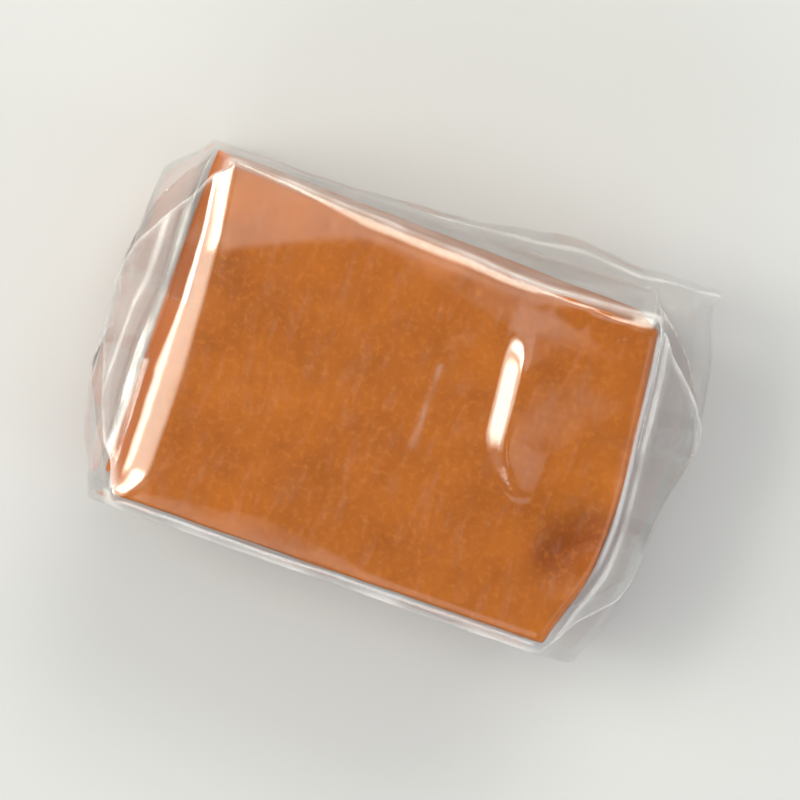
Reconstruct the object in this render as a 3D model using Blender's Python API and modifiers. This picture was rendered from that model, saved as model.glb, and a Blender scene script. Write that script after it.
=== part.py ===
"""A caramel sweet in its clear folded wrapper.

Two pieces: the caramel block, and the wrapper, which is one sheet of film folded round it as a
wrapping machine does it. The film runs round the block as a sleeve and laps over itself underneath.
At each end the sleeve's two sides are tucked in first, then the bottom is folded up and the top is
folded down over it, so that both flaps end as trapezoids with 45 degree sides.

Frame: metres, +Z up. X runs along the sweet, Y across it. The origin is at the middle of the
underside of the wrapped sweet, which rests on Z = 0.
"""

import math

import bmesh
import bpy
from mathutils import Vector

MM = 0.001

# The caramel block
CANDY_LENGTH = 25.4 * MM
CANDY_WIDTH = 19.0 * MM
CANDY_HEIGHT = 12.7 * MM
CANDY_SLUMP = 0.4 * MM  # how much further each side reaches at the foot than at the top
CANDY_EDGE = 0.9 * MM  # radius of the block's edges
END_BULGE = 1.4 * MM  # how far the +X end was pressed out of square
END_BULGE_SKEW = 1.6  # above 1, the bulge peaks towards the -Y corner
GROOVE_COUNT = 11  # belt marks pressed across the underside
GROOVE_PITCH = 2.15 * MM
GROOVE_WIDTH = 0.55 * MM
GROOVE_DEPTH_AT_SIDES = 0.40 * MM
GROOVE_DEPTH_AT_MIDDLE = 0.12 * MM
GROOVE_TIP = 0.1  # width of the groove's blunt tip, as a share of its mouth

# The film. It is drawn thicker than real film, which is about 0.03 mm.
FILM = 0.15 * MM
FILM_GAP = 0.30 * MM  # between the film and the caramel
LAYER_PITCH = 0.45 * MM  # from one folded layer to the next at an end
LAYERS_AT_END = 4  # tucked sides, bottom flap in two layers, top flap
SLEEVE_RADIUS = 0.8 * MM  # of the four long edges
FOLD_RADIUS = 0.8 * MM  # of the folds at the ends
REACH_LEFT = 16.2 * MM  # from the caramel's middle to the film's outermost fold, towards -X
REACH_RIGHT = 17.4 * MM
END_BOW = 1.2 * MM  # how much further the middle of an end stands out than its corners
FLAP_LENGTH = 8.2 * MM  # length of sheet folded down past each end
LAP = 8.0 * MM  # width of the overlap underneath
LAP_RISE = 0.35 * MM  # the inner layer lies this much above the outer one
LAP_SLOPE = 1.0 * MM  # run over which the inner layer comes down beside the overlap
SLACK_AT_LEFT = 0.9 * MM  # room between caramel and film along the +Y side
SLACK_AT_RIGHT = 2.4 * MM
BELLY_AT_FOOT = 0.55  # share of that slack at the foot and the top, where it is all at mid height

ARC_STEPS = 3
SLEEVE_STEPS = 10
PANEL_STEPS = 6
SHARP_ANGLE = math.radians(35)  # steeper edges are shaded as edges

# Heights of the film's middle surface and of the caramel, from the ground up
FILM_LOW = FILM / 2
CANDY_FOOT = FILM_LOW + LAP_RISE + FILM / 2 + FILM_GAP
FILM_HIGH = CANDY_FOOT + CANDY_HEIGHT + FILM_GAP + FILM / 2

# Along and across the sweet, measured from the middle of the caramel
END_DEPTH = FILM / 2 + FOLD_RADIUS + (LAYERS_AT_END - 1) * LAYER_PITCH + END_BOW
SLEEVE_LEFT = -(REACH_LEFT - END_DEPTH)
SLEEVE_RIGHT = REACH_RIGHT - END_DEPTH
FILM_NEAR = -(CANDY_WIDTH / 2 + CANDY_SLUMP / 2 + FILM_GAP + FILM / 2)
FILM_FAR = CANDY_WIDTH / 2 + CANDY_SLUMP / 2 + SLACK_AT_LEFT
WIDEST = FILM_FAR + (SLACK_AT_RIGHT - SLACK_AT_LEFT)

# The caramel's middle, which puts the wrapped sweet's middle on the origin
CANDY_X = (REACH_LEFT - REACH_RIGHT) / 2
CANDY_Y = -(FILM_NEAR + WIDEST) / 2


def clear_scene():
    for obj in list(bpy.data.objects):
        bpy.data.objects.remove(obj)


def new_collection(name):
    collection = bpy.data.collections.new(name)
    bpy.context.scene.collection.children.link(collection)
    return collection


def material(name, colour, roughness, alpha=1.0):
    made = bpy.data.materials.new(name)
    made.use_nodes = True
    shader = made.node_tree.nodes["Principled BSDF"]
    shader.inputs["Base Color"].default_value = (*colour, 1.0)
    shader.inputs["Roughness"].default_value = roughness
    shader.inputs["Metallic"].default_value = 0.0
    shader.inputs["Alpha"].default_value = alpha
    made.diffuse_color = (*colour, alpha)
    return made


def add_object(name, bm, collection, look=None):
    """The finished mesh as an object of its own, with its faces pointing out where it is closed."""
    mesh = bpy.data.meshes.new(name)
    bm.to_mesh(mesh)
    bm.free()
    obj = bpy.data.objects.new(name, mesh)
    collection.objects.link(obj)
    if look:
        mesh.materials.append(look)
    return obj


def box_with_steps(size, cuts):
    """A box of this size about its own centre, cut into cuts + 1 steps along each axis."""
    bm = bmesh.new()
    bmesh.ops.create_cube(bm, size=1.0)
    for axis, count in enumerate(cuts):
        if not count:
            continue
        along = [
            e
            for e in bm.edges
            if abs((e.verts[0].co - e.verts[1].co)[axis]) > 1e-6
        ]
        bmesh.ops.subdivide_edges(bm, edges=along, cuts=count, use_grid_fill=True)
    bmesh.ops.scale(bm, vec=Vector(size), verts=bm.verts)
    return bm


# The caramel


def shape_block(bm):
    """Slumps the box towards its foot and presses its +X end out of square."""
    half_length, half_width = CANDY_LENGTH / 2, CANDY_WIDTH / 2
    for v in bm.verts:
        height = v.co.z / CANDY_HEIGHT + 0.5
        spread = CANDY_SLUMP * (0.5 - height**2)
        across = v.co.y / half_width
        share = (1 - across) / 2  # 0 at the +Y side, 1 at the -Y side
        bulge = END_BULGE * math.sin(math.pi * share**END_BULGE_SKEW)
        towards_end = max(0.0, v.co.x / half_length) ** 3
        v.co.x += math.copysign(spread, v.co.x) * abs(v.co.x / half_length)
        v.co.y += math.copysign(spread, v.co.y) * abs(across)
        v.co.x += bulge * towards_end


def groove_cutter(x):
    """A V-shaped bar across the block's underside, shallowest at its middle."""
    overrun = 1.0 * MM
    length = CANDY_WIDTH + 2 * CANDY_SLUMP + 2 * overrun
    bm = box_with_steps((GROOVE_WIDTH, length, 2 * overrun), (0, 1, 0))
    for v in bm.verts:
        on_top = v.co.z > 0
        at_middle = abs(v.co.y) < length / 4
        depth = GROOVE_DEPTH_AT_MIDDLE if at_middle else GROOVE_DEPTH_AT_SIDES
        if on_top:
            v.co.z = depth
            v.co.x *= GROOVE_TIP
        else:
            v.co.x *= (depth + overrun) / depth
    bmesh.ops.translate(bm, vec=(CANDY_X + x, CANDY_Y, CANDY_FOOT), verts=bm.verts)
    return bm


def add_grooves(block, cutters):
    bm = bmesh.new()
    first = -GROOVE_PITCH * (GROOVE_COUNT - 1) / 2
    for i in range(GROOVE_COUNT):
        bar = groove_cutter(first + i * GROOVE_PITCH)
        mesh = bpy.data.meshes.new("groove")
        bar.to_mesh(mesh)
        bar.free()
        bm.from_mesh(mesh)
        bpy.data.meshes.remove(mesh)
    cutter = add_object("groove_cutters", bm, cutters)
    cutter.hide_render = True
    cutter.display_type = "WIRE"
    cut = block.modifiers.new("belt_marks", "BOOLEAN")
    cut.operation = "DIFFERENCE"
    cut.solver = "EXACT"
    cut.object = cutter


def make_caramel(pieces, cutters):
    look = material("caramel", (0.49, 0.136, 0.026), 0.38)
    bm = box_with_steps((CANDY_LENGTH, CANDY_WIDTH, CANDY_HEIGHT), (9, 9, 5))
    shape_block(bm)
    middle = (CANDY_X, CANDY_Y, CANDY_FOOT + CANDY_HEIGHT / 2)
    bmesh.ops.translate(bm, vec=middle, verts=bm.verts)
    block = add_object("caramel", bm, pieces, look)
    edges = block.modifiers.new("soft_edges", "BEVEL")
    edges.width = CANDY_EDGE
    edges.segments = 3
    edges.limit_method = "ANGLE"
    edges.angle_limit = SHARP_ANGLE
    edges.use_clamp_overlap = True
    add_grooves(block, cutters)
    block.data.shade_smooth()
    block.data.set_sharp_from_angle(angle=SHARP_ANGLE)
    return block


# The wrapper


def straight(start, end, steps):
    """Points from start up to end, without end."""
    a, b = Vector(start), Vector(end)
    return [a.lerp(b, i / steps) for i in range(steps)]


def arc(centre, from_angle):
    """Points of a clockwise quarter turn, without its last one."""
    points = []
    for i in range(ARC_STEPS):
        angle = from_angle - math.pi / 2 * i / ARC_STEPS
        points.append(Vector(centre) + SLEEVE_RADIUS * Vector((math.cos(angle), math.sin(angle))))
    return points


def sleeve_section():
    """The sleeve's line in Y and Z, from the inner edge of the overlap round to its outer edge,
    and for each panel the numbers of its first and last point."""
    r = SLEEVE_RADIUS
    low, inner, high = FILM_LOW, FILM_LOW + LAP_RISE, FILM_HIGH
    near, far = FILM_NEAR, FILM_FAR
    lap_near = -LAP / 2
    points, panels = [], {}

    def panel(name, corners):
        first = len(points)
        for start, end in zip(corners, corners[1:]):
            points.extend(straight(start, end, PANEL_STEPS // (len(corners) - 1)))
        panels[name] = (first, len(points))

    step_down = lap_near - LAP_SLOPE
    panel("inner_bottom", [(LAP / 2, inner), (lap_near, inner), (step_down, low), (near + r, low)])
    points.extend(arc((near + r, low + r), -math.pi / 2))
    panel("near_side", [(near, low + r), (near, high - r)])
    points.extend(arc((near + r, high - r), math.pi))
    panel("top", [(near + r, high), (far - r, high)])
    points.extend(arc((far - r, high - r), math.pi / 2))
    panel("far_side", [(far, high - r), (far, low + r)])
    points.extend(arc((far - r, low + r), 0.0))
    panel("outer_bottom", [(far - r, low), (lap_near, low)])
    points.append(Vector((lap_near, low)))
    return points, panels


def fold_flap(bm, row, out, turn, layer, middle=None):
    """Extrudes the row of end vertices outwards to its layer, then folds it along turn.
    With a middle, both sides of the flap run in at 45 degrees towards it."""
    distance = FOLD_RADIUS + layer * LAYER_PITCH
    rings = []
    for i in range(ARC_STEPS + 1):
        angle = math.pi / 2 * i / ARC_STEPS
        along = distance - FOLD_RADIUS * (1 - math.sin(angle))
        rings.append((along, FOLD_RADIUS * (1 - math.cos(angle))))
    rings.append((distance, (FLAP_LENGTH + FOLD_RADIUS) / 2))
    rings.append((distance, FLAP_LENGTH))
    half = (FILM_FAR - FILM_NEAR) / 2 - SLEEVE_RADIUS
    roots = [v.co.copy() for v in row]
    previous = row
    for along, down in rings:
        if along < 1e-9:
            continue  # the first ring of the innermost layer is the row itself
        ring = []
        for root in roots:
            place = root + out * along + turn * down
            if middle is not None:
                place.y = middle + (root.y - middle) * (half - down) / half
            ring.append(bm.verts.new(place))
        for a, b, c, d in zip(previous, previous[1:], ring[1:], ring):
            bm.faces.new((a, b, c, d))
        previous = ring


def let_out_film(bm):
    """The film stands off the caramel along the +Y side, more towards +X and at mid height, and
    both ends bow outwards."""
    middle = (FILM_NEAR + FILM_FAR) / 2
    half_width = (FILM_FAR - FILM_NEAR) / 2
    for v in bm.verts:
        along = (v.co.x - SLEEVE_LEFT) / (SLEEVE_RIGHT - SLEEVE_LEFT)
        along = min(1.0, max(0.0, along))
        across = (v.co.y - middle) / half_width
        end_share = max(0.0, abs(2 * along - 1)) ** 4
        v.co.x += math.copysign(END_BOW * (1 - across**2) * end_share, along - 0.5)
        belly = math.sin(math.pi * v.co.z / FILM_HIGH)
        belly = BELLY_AT_FOOT + (1 - BELLY_AT_FOOT) * belly
        slack = (SLACK_AT_RIGHT - SLACK_AT_LEFT) * math.sin(math.pi / 2 * along)
        v.co.y += slack * max(0.0, across) ** 2 * belly


def nearest(points, vertex):
    """The number of the section point that this vertex stands on."""
    return min(range(len(points)), key=lambda i: (points[i] - Vector(vertex.co.yz)).length)


def extrude_sleeve(bm, points):
    """The section drawn out along X. It returns the rows of vertices at the two ends."""
    first = [bm.verts.new((SLEEVE_LEFT, p.x, p.y)) for p in points]
    line = [bm.edges.new(pair) for pair in zip(first, first[1:])]
    step = Vector(((SLEEVE_RIGHT - SLEEVE_LEFT) / SLEEVE_STEPS, 0, 0))
    for _ in range(SLEEVE_STEPS):
        made = bmesh.ops.extrude_edge_only(bm, edges=line)["geom"]
        row = [v for v in made if isinstance(v, bmesh.types.BMVert)]
        line = [e for e in made if isinstance(e, bmesh.types.BMEdge) and set(e.verts) <= set(row)]
        bmesh.ops.translate(bm, vec=step, verts=row)
    return first, sorted(row, key=lambda v: nearest(points, v))


def make_wrapper(pieces):
    look = material("film", (0.95, 0.93, 0.90), 0.08, alpha=0.3)
    points, panels = sleeve_section()
    bm = bmesh.new()
    ends = extrude_sleeve(bm, points)
    middle = (FILM_NEAR + FILM_FAR) / 2
    up, across = Vector((0, 0, 1)), Vector((0, 1, 0))
    for side, row in zip((-1, 1), ends):
        out = Vector((side, 0, 0))
        strips = {name: row[first : last + 1] for name, (first, last) in panels.items()}
        fold_flap(bm, strips["near_side"], out, across, 0)
        fold_flap(bm, strips["far_side"], out, -across, 0)
        fold_flap(bm, strips["inner_bottom"], out, up, 1, middle)
        fold_flap(bm, strips["outer_bottom"], out, up, 2, middle)
        fold_flap(bm, strips["top"], out, -up, 3, middle)
    let_out_film(bm)
    bmesh.ops.translate(bm, vec=(CANDY_X, CANDY_Y, 0), verts=bm.verts)
    bmesh.ops.recalc_face_normals(bm, faces=bm.faces)
    sheet = add_object("wrapper", bm, pieces, look)
    wall = sheet.modifiers.new("film_thickness", "SOLIDIFY")
    wall.thickness = FILM
    wall.offset = 0.0
    wall.use_even_offset = True
    wall.use_rim = True
    sheet.data.shade_smooth()
    sheet.data.set_sharp_from_angle(angle=SHARP_ANGLE)
    return sheet


def main():
    clear_scene()
    pieces = new_collection("wrapped_caramel")
    cutters = new_collection("cutters")
    make_caramel(pieces, cutters)
    make_wrapper(pieces)


main()
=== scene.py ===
# %% [markdown]
# # A caramel in clear film
# A soft caramel is a cut block that is still a little plastic when it is wrapped, so nothing about
# it is quite square. The film is one thin glossy sheet. A machine folds it round the block as a
# sleeve, laps it underneath, and at each end tucks in the sides and folds the bottom and the top
# over them. This lesson models both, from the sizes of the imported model, and then lights them so
# that a clear film, which has no colour of its own, can be seen.

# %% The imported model
import math

import bpy
import numpy as np
from mathutils import Matrix, Vector


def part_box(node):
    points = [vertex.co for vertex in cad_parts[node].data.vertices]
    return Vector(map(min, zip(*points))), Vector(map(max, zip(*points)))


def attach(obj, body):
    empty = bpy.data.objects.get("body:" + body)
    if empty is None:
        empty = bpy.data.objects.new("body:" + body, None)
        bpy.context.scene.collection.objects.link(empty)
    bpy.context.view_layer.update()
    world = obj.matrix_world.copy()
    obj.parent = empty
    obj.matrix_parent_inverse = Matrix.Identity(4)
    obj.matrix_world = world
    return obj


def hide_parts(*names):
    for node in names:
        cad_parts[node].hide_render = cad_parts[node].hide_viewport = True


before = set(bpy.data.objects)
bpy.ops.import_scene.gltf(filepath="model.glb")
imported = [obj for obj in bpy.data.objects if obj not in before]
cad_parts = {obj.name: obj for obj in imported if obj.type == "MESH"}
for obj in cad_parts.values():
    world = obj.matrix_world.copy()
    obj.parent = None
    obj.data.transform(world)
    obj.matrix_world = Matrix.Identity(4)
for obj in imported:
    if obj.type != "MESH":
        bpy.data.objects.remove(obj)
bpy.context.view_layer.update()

MM = 0.001
caramel_low, caramel_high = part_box("caramel")
wrapper_low, wrapper_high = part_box("wrapper")
print("caramel", [round(v / MM, 2) for v in (*caramel_low, *caramel_high)])
print("wrapper", [round(v / MM, 2) for v in (*wrapper_low, *wrapper_high)])

# %% [markdown]
# ## Small helpers
# An operator acts on whatever is selected, so each step first says which points it means. `pick`
# selects by place. `push` moves what is picked and lets the neighbourhood follow softly, as a
# fingertip does in soft caramel. Sculpting would do the same by hand, but a step in code can be
# repeated exactly. `mark_points` keeps a number at each point, such as how near it is to a fold, for
# a material to read. Far from any such place, the distance to it is just AWAY.


# %% Selecting and pushing
AWAY = 9.0


def only(piece):
    """Makes piece the one selected and active object."""
    if bpy.context.object and bpy.context.object.mode != "OBJECT":
        bpy.ops.object.mode_set(mode="OBJECT")
    bpy.ops.object.select_all(action="DESELECT")
    piece.select_set(True)
    bpy.context.view_layer.objects.active = piece


def points_of(piece):
    """The piece's points as rows of x, y, z."""
    flat = np.empty(len(piece.data.vertices) * 3, np.float32)
    piece.data.vertices.foreach_get("co", flat)
    return flat.reshape(-1, 3).astype(float)


def set_points(piece, points):
    piece.data.vertices.foreach_set("co", points.astype(np.float32).ravel())
    piece.data.update()


def pick(piece, chosen):
    """Goes into edit mode with the chosen points selected, given as true or false for each point."""
    only(piece)
    mesh = piece.data
    mesh.polygons.foreach_set("select", np.zeros(len(mesh.polygons), bool))
    mesh.edges.foreach_set("select", np.zeros(len(mesh.edges), bool))
    mesh.vertices.foreach_set("select", np.asarray(chosen, bool))
    bpy.ops.object.mode_set(mode="EDIT")
    bpy.ops.mesh.select_mode(type="VERT")


def shift(piece, chosen, move):
    """Moves the chosen points, and nothing else. The move is in millimetres."""
    pick(piece, chosen)
    bpy.ops.transform.translate(value=Vector(move) * MM)
    bpy.ops.object.mode_set(mode="OBJECT")


def push(piece, chosen, move, reach):
    """Moves the chosen points, and those within reach of them by less and less."""
    pick(piece, chosen)
    bpy.ops.transform.translate(
        value=Vector(move) * MM,
        use_proportional_edit=True,
        proportional_edit_falloff="SMOOTH",
        proportional_size=reach * MM,
    )
    bpy.ops.object.mode_set(mode="OBJECT")


def apply_all(piece):
    """Applies the piece's modifiers in order."""
    only(piece)
    for modifier in list(piece.modifiers):
        bpy.ops.object.modifier_apply(modifier=modifier.name)


def mark_points(piece, name, values):
    """Keeps a number for each point, for a material to read."""
    made = piece.data.attributes.new(name, "FLOAT", "POINT")
    made.data.foreach_set("value", values.astype(np.float32))


print("nothing is near a mark that is", AWAY, "mm off")

# %% [markdown]
# ## The caramel block
# A slab of cooked caramel is cooled on a belt, rolled to its thickness and cut into blocks by a
# knife. The block could be a bevelled box, but a box has dead straight sides, and a soft block
# never does. So it starts as a cube of the cut size with enough cuts across it to be bent: first it
# slumps a little, so that the foot is wider than the top.

# %% Cut block
BLOCK = np.array([25.4, 19.0, 13.1])
HALF = BLOCK / 2
CUTS = 17
# How much wider or narrower each face becomes, along x and along y
SLUMP = {"foot": (1.012, 1.014), "top": (0.992, 0.99)}

centre = np.array((caramel_low + caramel_high) / 2) / MM
centre[0] = caramel_low.x / MM + 0.2 + HALF[0]
centre[2] = caramel_high.z / MM - HALF[2]
bpy.ops.object.select_all(action="DESELECT")
bpy.ops.mesh.primitive_cube_add(size=1, location=centre * MM)
block = bpy.context.object
block.name = "caramel_block"
block.scale = BLOCK * MM
bpy.ops.object.transform_apply(location=True, rotation=False, scale=True)

bpy.ops.object.mode_set(mode="EDIT")
bpy.ops.mesh.select_all(action="SELECT")
bpy.ops.mesh.subdivide(number_cuts=CUTS)
bpy.ops.object.mode_set(mode="OBJECT")


def places(piece):
    """The piece's points counted from the block's middle, in millimetres."""
    return points_of(piece) / MM - centre


heights = places(block)[:, 2]
for name, face in (("foot", heights < 0.01 - HALF[2]), ("top", heights > HALF[2] - 0.01)):
    pick(block, face)
    bpy.ops.transform.resize(value=(*SLUMP[name], 1), center_override=centre * MM)
    bpy.ops.object.mode_set(mode="OBJECT")
print("block points", len(block.data.vertices))

# %% [markdown]
# ## Pressed out of square
# The +X end was pressed while it was warm: it stands out most a little way towards -Y. The knife
# went in at a slight angle along the +Y side, and it leaned at the -X end, whose foot stands out
# past its top. The wrapping arms then pressed down the upper edges. Each of these is a move of whole
# rows of points, so the faces between them stay smooth.


# %% The end that stands out
BULGE, BULGE_AT = 1.45, -3.2
FADES_OVER = {"far": 16.0, "near": 6.9}
# How much of the bulge each column of points takes, from the end inwards
FOLLOW = (1.0, 0.75, 0.5, 0.3, 0.15, 0.05)


def bulge(y):
    """How far the +X end stands out at y: most a little way towards -Y, and less to the sides."""
    reach = np.where(y > BULGE_AT, FADES_OVER["far"], FADES_OVER["near"])
    return BULGE * np.clip(1 - ((y - BULGE_AT) / reach) ** 2, 0, 1) ** 2


place = places(block)
columns = HALF[0] * (1 - np.arange(len(FOLLOW)) * 2 / (CUTS + 1))
rows = HALF[1] * np.linspace(-1, 1, CUTS + 2)
for column, share in zip(columns, FOLLOW):
    for y in rows:
        here = (np.abs(place[:, 0] - column) < 0.3) & (np.abs(place[:, 1] - y) < 0.3)
        shift(block, here, (share * bulge(y), 0, 0))
print("+X end reaches", round(places(block)[:, 0].max(), 2))

# %% The side cut at an angle
SIDE_ANGLE = 1.7

pick(block, place[:, 1] > HALF[1] - 0.15)
bpy.ops.transform.rotate(
    value=math.radians(SIDE_ANGLE),
    orient_axis="Z",
    center_override=(centre + np.array([0, HALF[1], 0])) * MM,
)
bpy.ops.object.mode_set(mode="OBJECT")
print("sides at", round(places(block)[:, 1].min(), 2), round(places(block)[:, 1].max(), 2))

# %% The end that leans out to its foot
LEAN_IN, LEAN_OUT = 0.2, 0.25

place = places(block)
for z in HALF[2] * np.linspace(-1, 1, CUTS + 2):
    here = (place[:, 0] < 0.3 - HALF[0]) & (np.abs(place[:, 2] - z) < 0.3)
    share = (HALF[2] - z) / BLOCK[2]
    shift(block, here, (LEAN_IN - (LEAN_IN + LEAN_OUT) * share, 0, 0))
print("-X end reaches", round(places(block)[:, 0].min(), 2))

# %% The upper edges that were pressed down
END_DROP, LESS_TO_FAR = 0.58, 0.035
FAR_DROP, CORNER_REACH = 0.35, 5.5
BULGED_END_DROP = 0.12

place = places(block)
top_rows = place[:, 2] > HALF[2] - 0.1
for y in rows:
    here = (place[:, 0] < 0.6 - HALF[0]) & top_rows & (np.abs(place[:, 1] - y) < 0.3)
    shift(block, here, (0, 0, LESS_TO_FAR * max(y + 2, 0) - END_DROP))
shift(block, (place[:, 0] > HALF[0] - 0.6) & top_rows, (0, 0, -BULGED_END_DROP))
far_corner = np.abs(place - (HALF * (-1, 1, 1) - (0, 0, END_DROP))).sum(1) < 1.5
push(block, far_corner, (0, 0, -FAR_DROP), CORNER_REACH)
shift(block, (place[:, 1] > HALF[1] - 0.3) & top_rows, (0, 0, -FAR_DROP))
print("pressed rows", round(places(block)[top_rows, 2].min(), 2), "below", HALF[2])

# %% [markdown]
# ## Soft edges and marks
# A knife leaves a crisp edge, and warmth and film round it to about half a millimetre. A bevel and
# two levels of subdivision give that, and also enough points for the marks. Underneath, the belt's
# ribs pressed a row of shallow grooves across the block, deepest near its long sides. Above, the
# feed rollers left fainter dents along the same two edges, and a shallow hollow is where the bulged
# end was pressed.

# %% Rounded edges
only(block)
bevel = block.modifiers.new("edges", "BEVEL")
bevel.width = 0.6 * MM
bevel.segments = 3
bevel.limit_method = "ANGLE"
bevel.angle_limit = math.radians(50)
skin = block.modifiers.new("skin", "SUBSURF")
skin.levels = skin.render_levels = 2
apply_all(block)
print("block faces", len(block.data.polygons))

# %% Belt marks
MARKS, MARK_PITCH, MARK_HALF_WIDTH, MARK_END = 11, 2.15, 0.16, 8.6
# A mark is pressed twice: from how far off the middle, how deep, and how far the press reaches
MARK_PRESSES = ((0.0, 0.12, 0.5), (3.2, 0.26, 0.55))
mark_lines = (np.arange(MARKS) - (MARKS - 1) / 2) * MARK_PITCH

place = places(block)
under = place[:, 2] < 0.3 - HALF[2]
for x in mark_lines:
    off_middle = np.abs(place[:, 1])
    mark = under & (np.abs(place[:, 0] - x) < MARK_HALF_WIDTH) & (off_middle < MARK_END)
    for start, depth, reach in MARK_PRESSES:
        push(block, mark & (off_middle >= start), (0, 0, depth), reach)
print("belt marks", MARKS)

# %% Dents along the upper edges
DENT_ROWS, DENT_STRAY, DENT_REACH = (-7.9, 7.7), 0.25, 0.45
DENT_HALF_SIZE, DENT_DEPTHS = np.array([0.18, 0.45]), (0.03, 0.08)

rng = np.random.default_rng(4)
place = places(block)
upper = place[:, 2] > HALF[2] - 0.5
for x in mark_lines + 0.3:
    for y in DENT_ROWS:
        spot = np.array([x, y]) + rng.uniform(-DENT_STRAY, DENT_STRAY, 2)
        dent = upper & (np.abs(place[:, :2] - spot) < DENT_HALF_SIZE).all(1)
        push(block, dent, (0, 0, -rng.uniform(*DENT_DEPTHS)), DENT_REACH)
print("dents", len(DENT_ROWS) * MARKS)

# %% The hollow
# Each press in it: where, how deep, and how far it reaches
HOLLOW = (
    (12.2, -3.3, 0.45, 3.2),
    (11.8, -5.2, 0.40, 2.0),
    (12.6, -4.1, 0.60, 2.2),
    (13.3, -3.0, 0.40, 2.0),
    (13.0, 2.0, 0.16, 6.0),
)

place = places(block)
upper = place[:, 2] > HALF[2] - 0.5
for x, y, depth, reach in HOLLOW:
    spot = upper & (np.hypot(place[:, 0] - x, place[:, 1] - y) < 0.5)
    push(block, spot, (0, 0, -depth), reach)
print("the deepest place is at", round(places(block)[upper, 2].min(), 2))

# %% Uneven skin
# Each wave of the skin: its name, its size and its height
WAVES = (("uneven", 6.0, 0.16), ("lumps", 1.6, 0.04))

for name, size, strength in WAVES:
    clouds = bpy.data.textures.new(name, "CLOUDS")
    clouds.noise_scale = size * MM
    clouds.noise_depth = 2
    wave = block.modifiers.new(name, "DISPLACE")
    wave.texture = clouds
    wave.texture_coords = "OBJECT"
    wave.strength = strength * MM
    wave.mid_level = 0.5
apply_all(block)
only(block)
bpy.ops.object.shade_smooth()
print("waves in the skin", len(WAVES))

# %% [markdown]
# ## The painted glow at the cut end, and the painted shade in the hollow
# The -X end is the face that the knife left. It is drawn more golden than the rest: a painted glow,
# for the light that falls on that end and goes a little way into it. And along a short line in the
# hollow the caramel is drawn darker and redder: a painted shade, for the shadow in a crease there.
# The colours come later, in the material. Here each point gets two numbers for them: how much it
# belongs to the cut end, and how near it is to that line in the hollow.

# %% Painted glow at the cut end, and painted shade along a line
# Where the painted glow of the -X end starts, and how far it fades in
GLOW_FROM, GLOW_FADE = -12.15, 0.5
# The line where painted shade lies, how wide it spreads, and how far below the top it reaches
SHADED_LINE = np.array([(11.3, -5.0), (13.4, -2.9)])
SHADED_LINE_WIDTH, SHADED_LINE_DEPTH = 1.2, 2.5

place = places(block)
line = SHADED_LINE[1] - SHADED_LINE[0]
from_start = place[:, :2] - SHADED_LINE[0]
along_line = np.clip(from_start @ line / (line @ line), 0, 1)
off_line = np.hypot(*(from_start - along_line[:, None] * line).T)
off_line += AWAY * (place[:, 2] < HALF[2] - SHADED_LINE_DEPTH)
# The first number is the painted glow at the -X end, the second the painted shade in the hollow
mark_points(block, "end_glow", np.clip((GLOW_FROM - place[:, 0]) / GLOW_FADE, 0, 1))
# Painted shade: how near each point is to the line in the hollow that is drawn darker
mark_points(block, "pressed", np.exp(-((off_line / SHADED_LINE_WIDTH) ** 2)))
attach(block, "root")
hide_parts("caramel")
print("block box", places(block).min(0).round(2), places(block).max(0).round(2))

# %% [markdown]
# ## The film, flat
# The film starts as the machine gets it: one flat sheet. It could be folded with rotations, flap
# by flap, but its layers end up a tenth of a millimetre apart and would cut through each other.
# Cloth simulation keeps them apart, but doesn't keep a crease. So each point of a flat grid is
# carried to its folded place by one rule. Across the sheet lie five panels, and past both ends of
# the block each panel goes on as a flap.
#
# From here on, places are counted from the block's middle in x and y, and from the table in z.

# %% The flat sheet
# The length of the flap at each end, and how far the two bottom panels overlap
FLAP, LAP = {-1: 8.9, 1: 8.3}, 8.0
# Cells along each flap, along the sleeve, and across each panel
END_CELLS, SLEEVE_CELLS = 36, 112
PANELS = {"inner_bottom": 24, "near_side": 40, "top": 80, "far_side": 40, "outer_bottom": 26}

across_cells = sum(PANELS.values())
along_cells = SLEEVE_CELLS + 2 * END_CELLS
bpy.ops.object.select_all(action="DESELECT")
bpy.ops.mesh.primitive_grid_add(x_subdivisions=along_cells, y_subdivisions=across_cells, size=1)
film = bpy.context.object
film.name = "film"
flat = points_of(film)
column = np.rint((flat[:, 0] + 0.5) * along_cells).astype(int)
row = np.rint((flat[:, 1] + 0.5) * across_cells).astype(int)
print("sheet cells", along_cells, "by", across_cells)

# %% Where the sleeve lies
NEAR = -10.15
# The far edge at the -X end, at three quarters of the way, and at the +X end
FAR_EDGE = (10.25, 9.35, 9.85)
TOP = caramel_high.z / MM + 0.13
FOOT, FOOT_UNDER_LAP = 0.05, 0.22
CREASE_AT = 0.55
MIDDLE = TOP - CREASE_AT * (TOP - FOOT)


def smoothstep(low, high, value):
    share = np.clip((value - low) / (high - low), 0, 1)
    return share * share * (3 - 2 * share)


def by_end(table, end):
    return np.where(end < 0, table[-1], table[1])


print("film from", FOOT, "to", round(TOP, 2), "and from", NEAR, "to", FAR_EDGE)

# %% [markdown]
# ## The shape of the ends
# Film is springy. It doesn't follow the block's end down, but leaves the top in a short slope, drops
# steeply, makes a small ridge, and then swells like a cushion with air behind it. So an end is given
# by where it leaves the top (`root`), by the slope and the ridge (`END_PROFILE`), and by how far out
# the cushion stands, seen from above (`outline`). The -X end's slope runs at a slant and is an even
# strip, which is why it catches the light all along. The steep part after it is as dark as what it
# mirrors, so the golden cut end shows through it.


# %% Where an end starts and how far it stands out
ROOT_AT = {-1: -11.0, 1: 12.35}
STANDS_TO = {-1: -16.05, 1: 17.3}
FOOT_AT, FOOT_OUT = -13.1, 0.6


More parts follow.
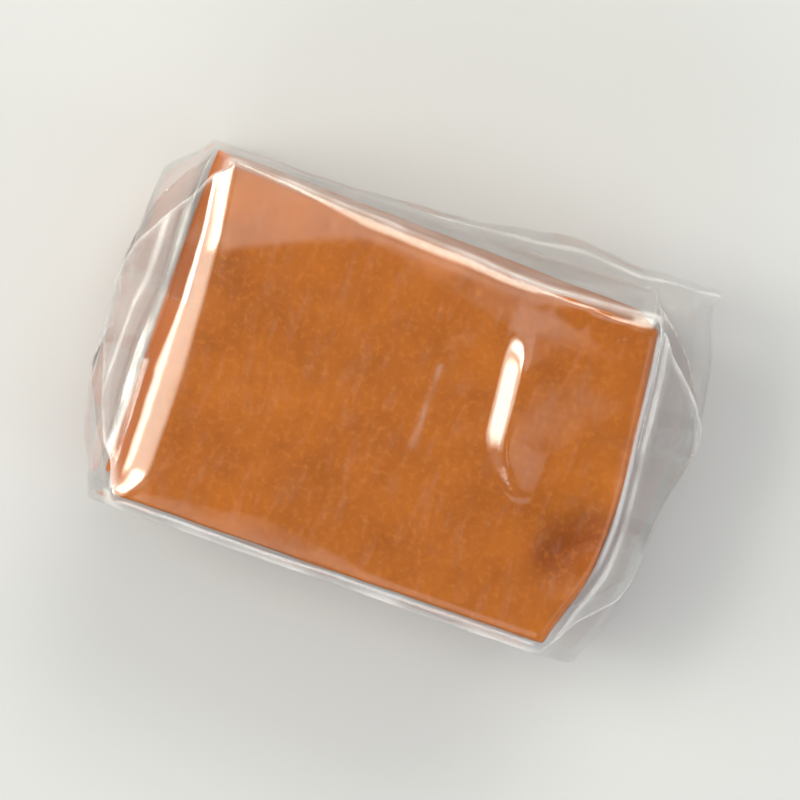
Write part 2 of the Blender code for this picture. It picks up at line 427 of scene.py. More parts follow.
def root(end, y):
    """Where the film starts to bend down at an end. At the -X end that is a slanting line."""
    slant = 0.09 * np.clip(y + 2, 0, None)
    near_corner = 1.2 * smoothstep(-7.6, -10.2, y)
    return np.where(end < 0, ROOT_AT[-1] - slant - near_corner, ROOT_AT[1] + bulge(y))


def outline(end, y):
    """How far out the end stands, seen from above: a flat arch with its corners drawn in."""
    left = STANDS_TO[-1] + 0.0085 * (y - 3) ** 2
    left = left + 0.8 * smoothstep(-7.0, -10.5, y) + 1.9 * smoothstep(8.0, 10.6, y)
    right = STANDS_TO[1] - 0.0075 * (y - 2.5) ** 2 - 0.9 * smoothstep(7.5, 12.0, np.abs(y))
    return np.where(end < 0, left, right)


def foot_out(end, y):
    """How far outside its root the film stands at the foot."""
    return np.where(end < 0, root(-1, y) - FOOT_AT, FOOT_OUT)


print("ends at", outline(-1, 0.0).round(2), outline(1, 0.0).round(2))

# %% The profile of an end
# Down from the film's top, and out from its root: the slope, the drop and the ridge
END_PROFILE = {
    -1: ((0, 0), (0.34, 0.90), (1.30, 2.36), (1.45, 2.8)),
    1: ((0, 0), (0.35, 0.55), (1.6, 1.0)),
}
END_POWER = {-1: 1.8, 1: 2.4}


def stand_out(end, y, z):
    """How far the end's film lies outside its root at height z: the profile, and then a cushion."""
    drop = np.clip(TOP - z, 0, None)
    found = np.zeros(np.shape(drop))
    for n, profile in END_PROFILE.items():
        downs, outs = zip(*profile)
        narrow = 0.04 * np.clip(y + 2, 0, 12) * (n < 0)
        rest = np.clip((drop - downs[-1]) / (TOP - FOOT - downs[-1]), 0, 1)
        most = np.abs(outline(n, y) - root(n, y))
        ridge = np.minimum(outs[-1] - (outs[-1] - outs[1]) * narrow, most)
        base = ridge + (foot_out(n, y) - ridge) * rest
        cushion = 1 - np.abs(1 - 2 * rest) ** END_POWER[n]
        high = np.interp(drop, downs, outs)
        high = np.minimum(high - np.clip(high - outs[1], 0, None) * narrow, most)
        out = np.where(drop < downs[-1], high, base + (most - base) * cushion)
        found = np.where(end == n, out, found)
    return found


def heights_along(end, from_top):
    """Lengths along an end's film from its root, and the height that each reaches."""
    z = np.linspace(TOP, FOOT, 800) if from_top else np.linspace(FOOT, TOP, 800)
    x = stand_out(np.full(z.shape, end), np.zeros(z.shape), z)
    steps = np.hypot(np.diff(x), np.diff(z))
    return np.concatenate([[0], np.cumsum(steps)]), z


for end in (-1, 1):
    print("film down the end", end, round(heights_along(end, True)[0][-1], 2))

# %% [markdown]
# ## The loose side
# The sheet is a little longer than the way round the block. The machine pulls it tight on one side,
# so all that is spare hangs on the other, the +Y side, more and more towards +X. It has creased
# lengthways at about half height. The tight side only bellies out a little.


# %% How far the sides hang off
LEAST_SLACK, MORE_SLACK = 0.4, 2.2
FOOT_SHARE, CREASE_SHARE = 0.45, 0.80
BELLY = 0.3


def slack(x):
    """How far the +Y side stands off, growing towards +X."""
    more = MORE_SLACK * np.clip((x + 9) / 17, 0, 1) ** 1.5
    return LEAST_SLACK + more - 0.4 * smoothstep(8, 13, x)


def hang(z):
    """How much of the slack shows at height z: most of it at the lengthways crease."""
    share = np.clip((TOP - z) / (TOP - FOOT), 0, 1)
    to_crease = np.minimum(share / CREASE_AT, (1 - share) / (1 - CREASE_AT))
    return FOOT_SHARE * share + CREASE_SHARE * to_crease


def belly(z):
    """How far the -Y side stands off at height z."""
    return BELLY * np.sin(np.pi * np.clip((TOP - z) / (TOP - FOOT), 0, 1))


print("slack", [round(float(slack(x)), 2) for x in (-12, 0, 12)])

# %% [markdown]
# ## The top
# Stretched film is flat, and it bends only in straight facets. A few shallow ones tip towards the
# edges. Both long edges have a narrow shoulder. And some air is caught near the bulged end: a
# blister with a steep side towards -X, which shines, and a long slope back down towards +X.


# %% Facets of the top
# A point on each facet's crease, the way it faces, its slope, and how far it goes on
TOP_FACETS = {
    "far_corner": ((-11.0, 5.6), 114, 5.5, 6.0),
    "far_strip": ((-4.0, 8.4), 78, 2.5, 6.0),
    "far_right": ((8.5, 5.0), 60, 2.4, 4.0),
    "near_left": ((-4.0, -7.7), -99, 3.0, 6.0),
    "near_right": ((-4.0, -7.7), -83, 3.0, 6.0),
}


def beyond(x, y, point, towards, slope, most):
    """How far a facet has dropped at x, y: none before its crease, then evenly."""
    away = math.radians(towards)
    distance = (x - point[0]) * math.cos(away) + (y - point[1]) * math.sin(away)
    return np.clip(distance, 0, most) * math.tan(math.radians(slope))


def top_drop(x, y):
    """How far the top's facets lie below the flat middle."""
    drops = {name: beyond(x, y, *facet) for name, facet in TOP_FACETS.items()}
    near = np.minimum(drops.pop("near_left"), drops.pop("near_right"))
    return np.maximum.reduce([near, *drops.values()])


print("facets drop", round(float(top_drop(-12.0, 9.5)), 2), "at the far corner")

# %% Shoulders
FAR_WIDTH, FAR_WIDENS, FAR_SLOPE = 1.0, 0.3, 23
NEAR_WIDTH, NEAR_SLOPE = 0.8, 28


def shoulders(x, from_near, from_far):
    """How far the film has dropped along its two long edges."""
    width = FAR_WIDTH + FAR_WIDENS * smoothstep(7, 12, x)
    far = np.clip(width - from_far, 0, width) * math.tan(math.radians(FAR_SLOPE))
    near = np.clip(NEAR_WIDTH - from_near, 0, NEAR_WIDTH) * math.tan(math.radians(NEAR_SLOPE))
    return np.maximum(far, near)


print("shoulders", FAR_WIDTH, "and", NEAR_WIDTH, "mm wide")

# %% Blister
BLISTER, BLISTER_AT, STEEP_WIDTH = 0.6, 5.7, 1.2
SHORTEST, CREST_AT = 3.0, 6.5
# Where the blister's -Y end rises, in y, and how much of its height it has there
NEAR_END_AT, NEAR_END_HEIGHT = (-2.35, -1.85, -0.6), (0, 0.7, 1)


def blister(x, y):
    """Air under the film, as a height."""
    turn = 0.11 * (y - 0.5) - 0.25 * np.clip(0.8 - y, 0, 3) ** 2
    steep = (x - BLISTER_AT + turn) / STEEP_WIDTH
    length = SHORTEST + 0.9 * np.clip(y - 0.5, 0, 4)
    gentle = (CREST_AT - 0.05 * y + length - x) / length
    gentle = 0.6 * np.clip(gentle, 0, 1) + 0.4 * smoothstep(0, 1, gentle)
    ends = np.interp(y, NEAR_END_AT, NEAR_END_HEIGHT) * (1 - smoothstep(4.4, 8.2, y))
    return BLISTER * np.clip(np.minimum(steep, gentle), 0, 1) * ends


steep_side = math.degrees(math.atan(BLISTER / STEEP_WIDTH))
print("blister stands", BLISTER, "high and slopes", round(steep_side, 1), "degrees")

# %% [markdown]
# ## Folding
# Every point of the sheet has a panel, a share of the way across it, and a distance past the end.
# On the sleeve that is all the rule needs. Past an end, the side panels are tucked straight in. The
# bottom and then the top fold over them, and where the tuck holds their corners back, each corner
# becomes a triangle. Its long side is the slanting crease that every wrapped parcel has, and the
# triangle is where `w`, the distance from the long fold, is less than the distance past the end.
#
# A fold breaks the film up a little and leaves a white line, and that line is also a painted
# highlight for the glint of a fold too tight to model. So the rule also tells how far each point is
# from a fold. The material reads that later. A small amount added to that distance makes a fainter
# line, and AWAY makes none.

# %% Where each point lies in the sheet
end_of = np.where(column < END_CELLS + SLEEVE_CELLS / 2, -1, 1)
cells_past = np.maximum(END_CELLS - column, column - END_CELLS - SLEEVE_CELLS).clip(0)
past_end = cells_past / END_CELLS * by_end(FLAP, end_of)
along_sleeve = np.clip((column - END_CELLS) / SLEEVE_CELLS, 0, 1)
far_edge = np.interp(along_sleeve, (0, 0.76, 1), FAR_EDGE)
print("points past the ends", int((past_end > 0).sum()), "of", len(flat))

# %% Folding a side
# A tucked side's length in the fold, and how far its upper edge sags on each side
TUCK, SAG_NEAR, SAG_FAR = 0.96, 0.9, 0.25


def fold_side(name, share, along, end, past, far):
    """Places of a side's points, and how far each is from a fold."""
    near = name == "near_side"
    foot = FOOT_UNDER_LAP if near else FOOT
    z = foot + (TOP - foot) * (share if near else 1 - share)
    edge = np.full(z.shape, NEAR) if near else far
    left, right = (root(n, edge) + n * stand_out(n, edge, z) for n in (-1, 1))
    x = left + (right - left) * along
    y = edge - belly(z) + past * TUCK if near else edge + slack(x) * hang(z) - past * TUCK
    sag = SAG_NEAR if near else SAG_FAR
    z = z - sag * smoothstep(0, 2.0, past) * np.clip((z - TOP + 4) / 4, 0, 1)
    x = np.where(past > 0, root(end, y) + end * stand_out(end, y, z), x)

    crease = np.abs(1 - share - CREASE_AT) * (TOP - foot) + 0.15 + AWAY * smoothstep(0, -8, x)
    crease = np.where(past > 0.5, np.abs(z - MIDDLE) + 0.1, crease + AWAY * near)
    return np.stack([x, y, z], 1), np.minimum(np.abs(z - TOP), crease)


print("a tucked side keeps", TUCK, "of its length, and sags", SAG_NEAR, "or", SAG_FAR, "mm")

# %% Folding the top and the bottom
# How far out each layer lies at the ends, and how high each panel lies on the sleeve
LAYER = {"inner_bottom": 0.10, "outer_bottom": 0.18, "top": 0.30}
LEVEL = {"inner_bottom": FOOT_UNDER_LAP, "outer_bottom": FOOT, "top": TOP}


def fold_broad(name, share, along, end, past, far):
    """Places of the points of the top or the bottom, and how far each is from a fold."""
    top, level = name == "top", LEVEL[name]
    first, last = {
        "top": (NEAR, far), "inner_bottom": (LAP / 2, NEAR), "outer_bottom": (far, -LAP / 2)
    }[name]
    y = first + (last - first) * share
    left, right = (root(n, y) + (0 if top else n * foot_out(n, y)) for n in (-1, 1))
    x = left + (right - left) * along
    w = np.minimum(y - NEAR, far - y)
    tucked = w < past
    share_w = np.where(past > 0, np.clip(w / np.maximum(past, 1e-9), 0, 1), 1)
    layer = smoothstep(0, 1.6, past)

    heights = {n: np.interp(past, *heights_along(n, top)) for n in (-1, 1)}
    z = by_end(heights, end) + (0 if top else level - FOOT) * (1 - layer)
    sag = np.where(y < 0, SAG_NEAR, SAG_FAR) * smoothstep(0, 2.0, past) * top
    z = np.where(tucked, level - sag + (z - level + sag) * share_w, z)

    pull = past * (TUCK + (1 - TUCK) * share_w)
    flat_y = np.where(tucked, np.where(y < 0, NEAR + pull, far - pull), y)
    loose = np.clip((flat_y - NEAR) / (far - NEAR), 0, 1) ** 2
    end_y = flat_y + loose * slack(x) * hang(z) - (1 - loose) ** 8 * belly(z)
    rise = layer * LAYER[name] * np.where(tucked, share_w, 1)
    end_x = root(end, flat_y) + end * (stand_out(end, flat_y, z) + rise)
    sleeve_y = y + (0 if top else loose * slack(x) * hang(level))
    sleeve = np.stack([x, sleeve_y, np.full(y.shape, level)], 1)
    placed = np.where((past > 0)[:, None], np.stack([end_x, end_y, z], 1), sleeve)
    return placed, white_lines(placed, y, w, end, past, top, tucked)


print("layers at the ends stand", LAYER, "mm out")

# %% Lines on the top and the ends
# How far past the end the ridge lies, and a second line that only the -X end has
RIDGE, SECOND_AT, SECOND_SLANT = {-1: 2.5, 1: 1.05}, 4.85, 0.12
OLD_CREASE_AT, OLD_CREASE_HALF = (2.1, 0.9), 2.3


def white_lines(placed, y, w, end, past, top, tucked):
    """How far points are from the folds, the ridges at the ends, and one old crease on top."""
    x, z = placed[:, 0], placed[:, 2]
    hidden = AWAY * ((not top) | tucked)
    fold = np.where(past > 0.8, np.abs(w - past) * 0.7, w + 0.3 * (not top))
    ridge = np.abs(past - by_end(RIDGE, end)) * 1.3 + hidden
    second = np.abs(past - SECOND_AT + SECOND_SLANT * (y + 2)) + 0.05 + hidden + AWAY * (end > 0)
    outer = np.abs(z - MIDDLE) + 0.15 + AWAY * (past < 0.5)
    past_crease = np.clip(np.abs(y - OLD_CREASE_AT[1]) - OLD_CREASE_HALF, 0, None)
    old = np.hypot(x - OLD_CREASE_AT[0], past_crease) + 0.35 + AWAY * (not top)
    return np.minimum.reduce([fold, ridge, second, outer, old])


print("lines past the ends at", RIDGE, "and", SECOND_AT)

# %% Folding the sheet
folded = np.zeros_like(flat)
to_fold = np.full(len(flat), AWAY)
start = 0
for name, cells in PANELS.items():
    here = (row >= start) & (row <= start + cells)
    fold = fold_side if name.endswith("side") else fold_broad
    folded[here], found = fold(
        name, ((row - start) / cells)[here], along_sleeve[here], end_of[here], past_end[here],
        far_edge[here],
    )
    to_fold[here] = np.minimum(to_fold[here], found)
    start += cells

near_top = np.clip((folded[:, 2] - TOP + 3) / 3, 0, 1)
edges = shoulders(folded[:, 0], folded[:, 1] - NEAR, far_edge - folded[:, 1])
folded[:, 2] -= np.maximum(top_drop(folded[:, 0], folded[:, 1]), edges) * near_top
print("folded film", folded.min(0).round(2), folded.max(0).round(2))

# %% White lines, part whitened film and part painted highlight, and softened folds
WHITE_WIDTH = 0.3
on_table = np.array([centre[0], centre[1], 0])

set_points(film, (folded + on_table) * MM)
# White lines: part whitened film at folds and ridges, part a painted highlight for their glint
mark_points(film, "white_line", np.exp(-((to_fold / WHITE_WIDTH) ** 2)))
soften = film.modifiers.new("soft_folds", "SMOOTH")
soften.factor = 0.5
soften.iterations = 6
apply_all(film)
print("points in white lines", int((to_fold < WHITE_WIDTH).sum()))

# %% [markdown]
# ## Creases
# Crumpled film isn't wavy. It is made of flat facets that meet in straight creases. A noise texture
# would give soft waves, so the facets come from distances instead: half the space is nearer to one
# scattered point than to any other, and the difference between two such distances is straight-sided.
# The ends and the sides get large facets with small ones on them. The top is stretched, so it gets
# almost none.


# %% A field of facets
def facets(points, spacing, seed):
    """A field of flat facets that meet in straight creases, with slopes of about 1."""
    rng = np.random.default_rng(seed)
    low, high = points.min(0) - spacing, points.max(0) + spacing
    count = int(np.prod((high - low) / spacing))
    fields = []
    for _ in range(2):
        best = np.full(len(points), np.inf)
        for spot in rng.uniform(low, high, (count, 3)):
            best = np.minimum(best, ((points - spot) ** 2).sum(1))
        fields.append(best)
    return (fields[0] - fields[1]) / (1.2 * spacing)


print("facets at two corners", facets(np.array([[0.0, 0.0, 0.0], [9.0, 9.0, 9.0]]), 6.0, 1).round(2))

# %% Creased film
COARSE, FINE, FINE_STRETCH = 6.0, 2.4, np.array([1.0, 0.45, 1.0])
# How strong the coarse and the fine facets are on faces that look along each axis
SLOPES = {"x": (0.10, 0.10), "y": (0.06, 0.06), "z": (0.008, 0.006)}
LOOSE_SIDE, TIGHT_SIDE = 1.3, 0.5
OVER_TABLE = 0.04

place = points_of(film) / MM - on_table
middle, span = (place.min(0) + place.max(0)) / 2, np.ptp(place, axis=0) / 2
from_middle = (place - middle) / span
facing = np.abs(from_middle) ** 6
facing /= facing.sum(1, keepdims=True)
coarse = facets(place, COARSE, 1)
fine = facets(place * FINE_STRETCH, FINE, 2)
for axis, slope in enumerate(SLOPES.values()):
    amount = facing[:, axis] * np.sign(from_middle[:, axis])
    if axis == 1:
        amount = amount * np.where(from_middle[:, 1] > 0, LOOSE_SIDE, TIGHT_SIDE)
    place[:, axis] += amount * (slope[0] * coarse + slope[1] * fine)
near_top = smoothstep(TOP - 1.2, TOP - 0.4, place[:, 2])
place[:, 2] += blister(place[:, 0], place[:, 1]) * near_top
place[:, 2] = np.maximum(place[:, 2], OVER_TABLE)
set_points(film, (place + on_table) * MM)
print("creased film", place.min(0).round(2), place.max(0).round(2))

# %% [markdown]
# ## From a surface to a sheet
# Where a crease has pushed the film into the caramel, Shrinkwrap lifts it out again. Solidify then
# gives it its real thickness, 0.03 mm. That is too thin to see, but light meets two faces in a real
# film as well, and each one mirrors its share.

# %% Film over the caramel
FILM_THICKNESS, CLEARANCE = 0.03, 0.05

outside = film.modifiers.new("over_caramel", "SHRINKWRAP")
outside.target = block
outside.wrap_method = "NEAREST_SURFACEPOINT"
outside.wrap_mode = "OUTSIDE"
outside.offset = CLEARANCE * MM
soften = film.modifiers.new("soft_creases", "SMOOTH")
soften.factor = 0.5
soften.iterations = 1
sheet = film.modifiers.new("film_thickness", "SOLIDIFY")
sheet.thickness = FILM_THICKNESS * MM
sheet.offset = 0
apply_all(film)

only(film)
bpy.ops.object.mode_set(mode="EDIT")
bpy.ops.mesh.select_all(action="SELECT")
bpy.ops.mesh.normals_make_consistent(inside=False)
bpy.ops.object.mode_set(mode="OBJECT")
bpy.ops.object.shade_smooth()
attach(film, "root")
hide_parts("wrapper")
print("film faces", len(film.data.polygons))

# %% [markdown]
# ## Materials
# A material is a small tree of nodes. Three helpers keep the trees readable: one turns the hex
# colours that people quote into the linear values that light adds up in, one makes an empty
# material, and one adds a node with its settings and links.


# %% Node helpers
def linear(hex_colour, alpha=1.0):
    """An sRGB hex colour as linear red, green, blue and alpha."""
    parts = [int(hex_colour[i : i + 2], 16) / 255 for i in (1, 3, 5)]
    return (*[c / 12.92 if c <= 0.04045 else ((c + 0.055) / 1.055) ** 2.4 for c in parts], alpha)


def new_material(name):
    made = bpy.data.materials.new(name)
    made.use_nodes = True
    made.node_tree.nodes.clear()
    return made, made.node_tree


def add(tree, kind, inputs=None, **settings):
    """A node of this kind with its settings. Each input, by name or number, is set or linked."""
    node = tree.nodes.new("ShaderNode" + kind)
    for name, value in settings.items():
        setattr(node, name, value)
    for name, value in (inputs or {}).items():
        if isinstance(value, bpy.types.NodeSocket):
            tree.links.new(value, node.inputs[name])
        else:
            node.inputs[name].default_value = value
    return node


def per_mm(size):
    """A noise texture's scale for lumps of this size in millimetres."""
    return 1 / (size * MM)


print("white is", linear("#FFFFFF"))

# %% [markdown]
# ## Cooked milk caramel
# Sugar, milk and butter, boiled and poured. Light goes a little way into it, so its edges glow and
# its shadows are warm: that is subsurface scattering, deepest for red. Two noises give its colour:
# clouds some 4.5 mm wide, from uneven browning, and a grain of 0.4 mm, from tiny sugar crystals and
# milk solids that also roughen the skin. Real grain is finer, about 0.1 mm, but wouldn't show, so it
# is drawn that much coarser. Then the two marks kept at the points come in: the cut end is drawn
# more golden, a painted glow for the light on that end, and a line in the hollow darker and redder,
# a painted shade for the shadow in a crease.

# %% Caramel colours
CLOUD_SIZE, GRAIN_SIZE = 4.5, 0.385
# The third of these colours is a painted glow for the lit -X end, the fourth a painted shade
DARK, LIGHT, PAINTED_END_GLOW, CREASE_SHADE, FLECK = "#8D4C14", "#A85F1B", "#CC6A10", "#6C2204", "#B8702E"
CREASE_SHADE_SHARE, FLECK_SHARE = 0.42, 0.40
caramel, tree = new_material("cooked_milk_caramel")
where = add(tree, "TexCoord").outputs["Object"]
browning = add(
    tree, "TexNoise", {"Vector": where, "Scale": per_mm(CLOUD_SIZE), "Detail": 5.0, "Roughness": 0.65}
)
grain = add(
    tree, "TexNoise", {"Vector": where, "Scale": per_mm(GRAIN_SIZE), "Detail": 3.0, "Roughness": 0.6}
)
clouds = add(tree, "MapRange", {"Value": browning.outputs["Fac"], "From Min": 0.30, "From Max": 0.70})
tone = add(
    tree,
    "Mix",
    {"Factor": clouds.outputs[0], "A": linear(DARK), "B": linear(LIGHT)},
    data_type="RGBA",
)
# Painted glow: the -X end is more golden, for the light that falls on it and goes into it
glow_at_end = add(tree, "Attribute", attribute_name="end_glow").outputs["Fac"]
tone = add(
    tree, "Mix", {"Factor": glow_at_end, "A": tone.outputs[2], "B": linear(PAINTED_END_GLOW)}, data_type="RGBA"
)
# Painted shade: darker and redder near the line in the hollow, for the shadow in a crease
pressed = add(tree, "Attribute", attribute_name="pressed").outputs["Fac"]
crease_shade_amount = add(tree, "Math", {0: pressed, 1: CREASE_SHADE_SHARE}, operation="MULTIPLY")
tone = add(
    tree,
    "Mix",
    {"Factor": crease_shade_amount.outputs[0], "A": tone.outputs[2], "B": linear(CREASE_SHADE)},
    data_type="RGBA",
)
flecks = add(
    tree,
    "MapRange",
    {"Value": grain.outputs["Fac"], "From Min": 0.50, "From Max": 0.72, "To Max": FLECK_SHARE},
)
tone = add(
    tree,
    "Mix",
    {"Factor": flecks.outputs[0], "A": tone.outputs[2], "B": linear(FLECK)},
    data_type="RGBA",
)
print("grain", GRAIN_SIZE, "mm, clouds", CLOUD_SIZE, "mm")

# %% Caramel skin
GRAIN_HEIGHT = 0.04

grain_bump = add(
    tree, "Bump", {"Height": grain.outputs["Fac"], "Strength": 0.3, "Distance": GRAIN_HEIGHT * MM}
)
skin_shader = add(
    tree,
    "BsdfPrincipled",
    {
        "Base Color": tone.outputs[2],
        "Roughness": 0.5,
        "IOR": 1.48,
        "Specular IOR Level": 0.2,
        "Subsurface Weight": 0.15,
        "Subsurface Radius": (1.0, 0.5, 0.2),
        "Subsurface Scale": 0.8 * MM,
        "Normal": grain_bump.outputs["Normal"],
    },
)
add(tree, "OutputMaterial", {"Surface": skin_shader.outputs[0]})
block.data.materials.append(caramel)
print(caramel.name, len(tree.nodes), "nodes")

# %% [markdown]
# ## Clear cellulose film
# Cellulose film is cast from a slot onto a polished drum, so it is glossy and clear, with a faint
# ripple from drying. All that the eye sees of it is mirrored light: about 4 % where it is met head
# on, and more and more at a slant. A glass shader would bend what is behind it, which a film this
# thin doesn't. So the film lets light straight through and adds a mirror whose share grows with the
# slant. Folds turn white, and so do the faint rub marks, drawn out the way the film slid round the
# block: there the film scatters some light, as a white haze. At the folds and ridges that white is
# also a painted highlight, for the glint of folds too tight to model.

# %% Film
RIPPLE_SIZE, RIPPLE_HEIGHT = 2.9, 0.05
HEAD_ON, AT_A_SLANT = 0.037, 0.563
clear, tree = new_material("cellulose_film")
where = add(tree, "TexCoord").outputs["Object"]
ripple = add(
    tree, "TexNoise", {"Vector": where, "Scale": per_mm(RIPPLE_SIZE), "Detail": 2.0, "Roughness": 0.5}
)
ripple_bump = add(
    tree, "Bump", {"Height": ripple.outputs["Fac"], "Strength": 0.25, "Distance": RIPPLE_HEIGHT * MM}
)
slant = add(tree, "LayerWeight", {"Blend": 0.5}).outputs["Facing"]
steep = add(tree, "Math", {0: slant, 1: 5.0}, operation="POWER")
mirror = add(
    tree, "Math", {0: steep.outputs[0], 1: AT_A_SLANT, 2: HEAD_ON}, operation="MULTIPLY_ADD"
)
gloss = add(
    tree,
    "BsdfGlossy",
    {"Color": linear("#FFFFFF"), "Roughness": 0.06, "Normal": ripple_bump.outputs["Normal"]},
)
through = add(tree, "BsdfTransparent", {"Color": linear("#FDFDFD")})
clean = add(tree, "MixShader", {0: mirror.outputs[0], 1: through.outputs[0], 2: gloss.outputs[0]})
print("film mirrors", HEAD_ON, "head on and", HEAD_ON + AT_A_SLANT, "at a slant")

# %% Haze on the film, and painted highlight at the folds
RUB_WIDTH, RUB_LENGTH, RUB_HAZE = 0.5, 1.8, 0.012
# How strong the white lines are: part haze of creased film, part painted highlight
LINE_HAZE_AND_HIGHLIGHT = (0.12, 0.36)

line = add(tree, "Attribute", attribute_name="white_line").outputs["Fac"]
line_strength = add(
    tree,
    "MapRange",
    {
        "Value": ripple.outputs["Fac"],
        "From Min": 0.35,
        "From Max": 0.65,
        "To Min": LINE_HAZE_AND_HIGHLIGHT[0],
        "To Max": LINE_HAZE_AND_HIGHLIGHT[1],
    },
)
line_haze_and_highlight = add(tree, "Math", {0: line, 1: line_strength.outputs[0]}, operation="MULTIPLY")
drawn_out = add(
    tree,
    "VectorMath",
    {0: where, 1: (per_mm(RUB_WIDTH), per_mm(RUB_LENGTH), per_mm(RUB_LENGTH))},
    operation="MULTIPLY",
)
rubs = add(tree, "TexNoise", {"Vector": drawn_out.outputs[0], "Scale": 1.0, "Detail": 2.0})
rub_haze = add(
    tree,
    "MapRange",
    {"Value": rubs.outputs["Fac"], "From Min": 0.50, "From Max": 0.80, "To Max": RUB_HAZE},
)
haze_and_highlight = add(tree, "Math", {0: line_haze_and_highlight.outputs[0], 1: rub_haze.outputs[0]}, operation="MAXIMUM")
# The white shared by the haze and the painted highlight at the folds
white_haze_and_highlight = add(tree, "BsdfDiffuse", {"Color": linear("#F9F9F9")})
film_shader = add(tree, "MixShader", {0: haze_and_highlight.outputs[0], 1: clean.outputs[0], 2: white_haze_and_highlight.outputs[0]})
add(tree, "OutputMaterial", {"Surface": film_shader.outputs[0]})
film.data.materials.append(clear)
print(clear.name, len(tree.nodes), "nodes")

# %% [markdown]
# ## Table, camera and light
# The table is uncoated pale grey card. It scatters light evenly, and it is a little darker than
# white, so that the white lines of the film show against it.
#
# The camera looks almost straight down, from 6 degrees off, through a long lens that keeps the
# block's sides parallel. It is turned, so that the block lies askew.

# %% Table
bpy.ops.object.select_all(action="DESELECT")
bpy.ops.mesh.primitive_plane_add(size=1.6, location=(0, 0, wrapper_low.z))
table = bpy.context.object
table.name = "table"
card, tree = new_material("uncoated_grey_card")
card_shader = add(tree, "BsdfPrincipled", {"Base Color": linear("#B3B5B8"), "Roughness": 0.7})
add(tree, "OutputMaterial", {"Surface": card_shader.outputs[0]})
table.data.materials.append(card)
print("table", [round(side, 2) for side in table.dimensions])

# %% Camera
TURN = math.radians(19.6)
AZIMUTH, ELEVATION = math.radians(135), math.radians(84.3)
DISTANCE = 0.37
look_at = Vector((centre[0] + 0.8, centre[1] + 0.56, 11.0)) * MM
back = Vector((
    math.cos(AZIMUTH) * math.cos(ELEVATION),
    math.sin(AZIMUTH) * math.cos(ELEVATION),
    math.sin(ELEVATION),
))
right = Vector((-math.sin(TURN), math.cos(TURN), 0)).cross(back).normalized()
up = back.cross(right)
camera_data = bpy.data.cameras.new("camera")
camera_data.lens = 300
camera_data.clip_start = 0.01
camera = bpy.data.objects.new("camera", camera_data)
bpy.context.scene.collection.objects.link(camera)
turned = Matrix((right, up, back)).transposed().to_4x4()
camera.matrix_world = Matrix.Translation(look_at + back * DISTANCE) @ turned
bpy.context.scene.camera = camera
print("camera", round(DISTANCE * 1000), "mm away")

# %% [markdown]
# ## Panels that the film mirrors
# A lamp lights the caramel, but on the film it shows as its own mirror image. So the light comes
# from large soft panels, each placed where one part of the film mirrors it: film that tips by some
# angle mirrors what stands twice that angle off. The slope at the -X end sees the warm keys, the
# shoulder along the far edge sees the window, and the facets see faint scrims overhead. Where
# nothing stands, the film is clear. A panel that fades to its edge gives a highlight that fades too.


# %% A soft panel
PANEL_DISTANCE = 0.5


def panel(name, azimuth, elevation, size, radiance, colour="#FFFFFF"):
    """A soft light that looks at the sweet. Its azimuth is 0 at the camera's right, 90 up."""
    a, e = math.radians(azimuth), math.radians(elevation)
    flat_way = right * math.cos(a) + up * math.sin(a)
    way = Vector((flat_way.x, flat_way.y, 0)).normalized() * math.cos(e)
    way.z = math.sin(e)
    data = bpy.data.lights.new(name, "AREA")
    data.shape = "RECTANGLE"
    data.size, data.size_y = size
    data.energy = radiance * math.pi * size[0] * size[1]
    data.use_nodes = True
    tree = data.node_tree
    tree.nodes.clear()
    spot = add(tree, "NewGeometry").outputs["Parametric"]
    off_middle = add(tree, "VectorMath", {0: spot, 1: (0.5, 0.5, 0)}, operation="SUBTRACT")
    across = add(tree, "VectorMath", {0: off_middle.outputs[0]}, operation="LENGTH")
    glow = add(
        tree,
        "MapRange",
        {"Value": across.outputs["Value"], "From Min": 0.1, "From Max": 0.6, "To Min": 1.5, "To Max": 0},
        interpolation_type="SMOOTHSTEP",
    )
    shine = add(tree, "Emission", {"Color": linear(colour), "Strength": glow.outputs[0]})
    add(tree, "OutputLight", {"Surface": shine.outputs[0]})
    lamp = bpy.data.objects.new(name, data)
    lamp.location = way * PANEL_DISTANCE
    lamp.rotation_euler = way.to_track_quat("Z", "Y").to_euler()
    bpy.context.scene.collection.objects.link(lamp)
    print(name, "at", azimuth, elevation)


print("panels stand", PANEL_DISTANCE, "m away")

# %% The panels
WARM = "#FFFCEC"
panel("key", 165, 52, (0.42, 0.32), 4.0, WARM)
panel("key_low", 170, 41, (0.40, 0.13), 8.0, WARM)
panel("key_side", 149, 57, (0.17, 0.14), 11.0, WARM)
panel("window", 66, 44, (0.44, 0.30), 5.5, WARM)
panel("card_below", -115, 35, (0.44, 0.20), 3.5)
panel("card_right", -20, 28, (0.34, 0.20), 3.0)
panel("faint_card", -28, 62, (0.26, 0.20), 0.5)

# %% [markdown]
# ## The room
# The room is pale at the level of the table and dark overhead, because a flat top mirrors what is
# overhead, and there it should let the caramel show. Two scrims, as soft round glows, are what the
# top's facets mirror. A black flag stands low past the -X end. The film drops steeply there, and
# mirrors that flag instead of the pale walls, so the golden cut end shows through. The camera itself
# sees plain white past the table.

# %% Room
WALLS, CEILING = 0.75, 0.06
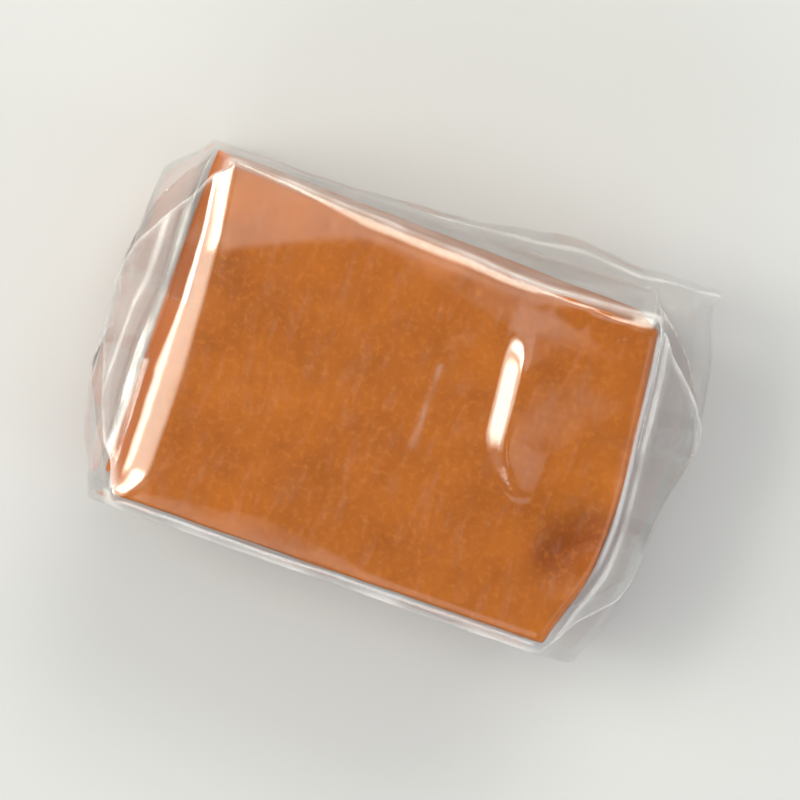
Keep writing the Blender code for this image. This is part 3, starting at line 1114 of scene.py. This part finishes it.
# Where each stands, the cosines at its rim and at its middle, and for a scrim how bright it is
SCRIMS = (((-0.12, 0.30, 0.95), 0.93, 0.98, 1.4), ((0.10, -0.31, 0.94), 0.985, 0.996, 0.9))
FLAG_STANDS, FLAG_RIM, FLAG_HEART = (-0.91, 0.0, 0.40), 0.86, 0.94

room = bpy.data.worlds.new("studio")
bpy.context.scene.world = room
room.use_nodes = True
tree = room.node_tree
tree.nodes.clear()
way = add(tree, "TexCoord").outputs["Generated"]
height = add(tree, "SeparateXYZ", {0: way}).outputs["Z"]
light = add(
    tree,
    "MapRange",
    {"Value": height, "From Min": 0.4, "From Max": 0.98, "To Min": WALLS, "To Max": CEILING},
    interpolation_type="SMOOTHSTEP",
)
for stands, rim, heart, strength in SCRIMS:
    toward = add(tree, "VectorMath", {0: way, 1: Vector(stands).normalized()}, operation="DOT_PRODUCT")
    glow = add(
        tree,
        "MapRange",
        {"Value": toward.outputs["Value"], "From Min": rim, "From Max": heart, "To Max": strength},
        interpolation_type="SMOOTHSTEP",
    )
    light = add(tree, "Math", {0: light.outputs[0], 1: glow.outputs[0]})
toward = add(
    tree, "VectorMath", {0: way, 1: Vector(FLAG_STANDS).normalized()}, operation="DOT_PRODUCT"
)
flag = add(
    tree,
    "MapRange",
    {
        "Value": toward.outputs["Value"],
        "From Min": FLAG_RIM,
        "From Max": FLAG_HEART,
        "To Min": 1.0,
        "To Max": 0.0,
    },
    interpolation_type="SMOOTHSTEP",
)
light = add(tree, "Math", {0: light.outputs[0], 1: flag.outputs[0]}, operation="MULTIPLY")
seen = add(tree, "LightPath").outputs["Is Camera Ray"]
lit = add(tree, "Background", {"Color": linear("#FFFFFF"), "Strength": light.outputs[0]})
plain = add(tree, "Background", {"Color": linear("#FFFFFF"), "Strength": 1.0})
both = add(tree, "MixShader", {0: seen, 1: lit.outputs[0], 2: plain.outputs[0]})
add(tree, "OutputWorld", {"Surface": both.outputs[0]})
bpy.context.scene.view_settings.view_transform = "Standard"
bpy.context.scene.cycles.transparent_max_bounces = 32
print("scrims", len(SCRIMS), "and one flag")
